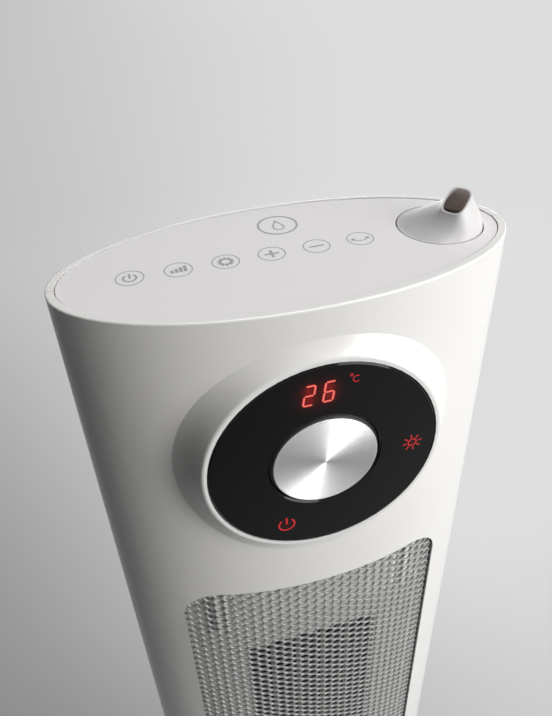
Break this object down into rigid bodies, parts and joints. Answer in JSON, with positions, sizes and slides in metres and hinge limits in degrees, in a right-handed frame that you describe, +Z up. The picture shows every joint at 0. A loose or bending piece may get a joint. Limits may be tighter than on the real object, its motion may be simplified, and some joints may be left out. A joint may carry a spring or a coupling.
{
  "type": "tower fan heater",
  "caption": "Oval tower heater on a round swivel base: honeycomb front grille, round display with a dial, touch keys, turning mist nozzle and pull-out water tank.",
  "frame": {"origin": "on the floor under the middle of the round base", "axes": "+Z up, the front with the display and the grille faces -Y, +X to the viewer's right"},
  "size_m": [0.23, 0.23, 0.6357],
  "materials": {
    "white_gloss": "glossy moulded white",
    "panel_white": "satin pearl white",
    "lens_black": "mirror gloss black",
    "spun_metal": "spun, fine concentric lines",
    "grille_metal": "silver grey paint",
    "grey_plastic": "matt",
    "dark_plastic": "matt black",
    "duct_plastic": "heat-proof, light grey",
    "ceramic": "ceramic bars in metal sleeves",
    "fin_metal": "thin folded strip",
    "steel": "zinc plated",
    "iron": "black oxide",
    "rubber": "soft",
    "board_green": "solder mask",
    "relay_blue": "moulded",
    "light_red": "diffusing red",
    "filter_mesh": "moulded mesh frame",
    "tank_plastic": "milky"
  },
  "bodies": {
    "base": {"base_cover": "white_gloss", "base_plate": "grey_plastic", "base_screws": "steel", "rubber_feet": "rubber", "ballast_ring": "iron", "cord_gland": "rubber", "tip_switch": "dark_plastic", "swing_gear": "grey_plastic", "swivel_washer": "panel_white"},
    "plunger": {"tip_plunger": "dark_plastic"},
    "tower": {"bottom_cap": "grey_plastic", "cap_screws": "steel", "swivel_retainer": "grey_plastic", "hub_screws": "steel", "swing_motor": "steel", "front_shell": "white_gloss", "rear_shell": "white_gloss", "shell_screws": "steel", "top_panel": "panel_white", "touch_board": "board_green", "touch_springs": "steel", "front_grille": "grille_metal", "display_lens": "lens_black", "display_board": "board_green", "led_digits": "light_red", "symbol_lights": "light_red", "encoder_body": "dark_plastic", "outlet_plate": "duct_plastic", "duct_screws": "steel", "element_frame": "duct_plastic", "ceramic_bars": "ceramic", "heater_fins": "fin_metal", "thermal_cutout": "steel", "upper_plate": "duct_plastic", "lower_plate": "duct_plastic", "fan_bearing": "steel", "fan_motor": "steel", "scroll_wall": "duct_plastic", "tongue_wall": "duct_plastic", "water_deck": "grey_plastic", "mist_disc": "steel", "mist_chimney": "grey_plastic", "power_board": "board_green", "board_parts": "relay_blue", "switch_housing": "dark_plastic"},
    "pinion": {"swing_pinion": "grey_plastic"},
    "wheel": {"fan_wheel": "fin_metal"},
    "dial": {"dial_cap": "spun_metal", "dial_core": "dark_plastic", "encoder_shaft": "steel"},
    "nozzle": {"mist_nozzle": "panel_white"},
    "tank": {"water_tank": "tank_plastic", "tank_cap": "grey_plastic"},
    "intake": {"intake_cover": "white_gloss", "dust_filter": "filter_mesh"},
    "rocker": {"switch_rocker": "dark_plastic"}
  },
  "joints": [
    {"name": "tower_swing", "type": "hinge", "parent": "base", "child": "tower", "pos_m": [0, 0, 0.03], "axis": [0, 0, 1], "range_deg": [-35, 35]},
    {"name": "pinion_turn", "type": "hinge", "parent": "tower", "child": "pinion", "pos_m": [0.042, 0, 0.028], "axis": [0, 0, 1], "range_deg": [-212, 212]},
    {"name": "wheel_spin", "type": "hinge", "parent": "tower", "child": "wheel", "pos_m": [0, 0.0134, 0.263], "axis": [0, 0, 1], "continuous": true},
    {"name": "dial_turn", "type": "hinge", "parent": "tower", "child": "dial", "pos_m": [0, -0.0504, 0.5436], "axis": [0, -1, 0], "continuous": true},
    {"name": "nozzle_turn", "type": "hinge", "parent": "tower", "child": "nozzle", "pos_m": [0.071, 0.0012, 0.6146], "axis": [0, 0, 1], "continuous": true},
    {"name": "tank_pull", "type": "slide", "parent": "tower", "child": "tank", "axis": [0, 1, 0], "range_m": [0, 0.06]},
    {"name": "intake_pull", "type": "slide", "parent": "tower", "child": "intake", "axis": [0, 1, 0], "range_m": [0, 0.03]},
    {"name": "rocker_tilt", "type": "hinge", "parent": "tower", "child": "rocker", "pos_m": [0, 0.0448, 0.074], "axis": [1, 0, 0], "range_deg": [0, 16]},
    {"name": "plunger_slide", "type": "slide", "parent": "base", "child": "plunger", "axis": [0, 0, -1], "range_m": [0, 0.004], "stiffness_N_per_m": 40, "springref_m": 0.006}
  ],
  "couplings": [
    {"joint": "pinion_turn", "follows": "tower_swing", "ratio": 6}
  ]
}
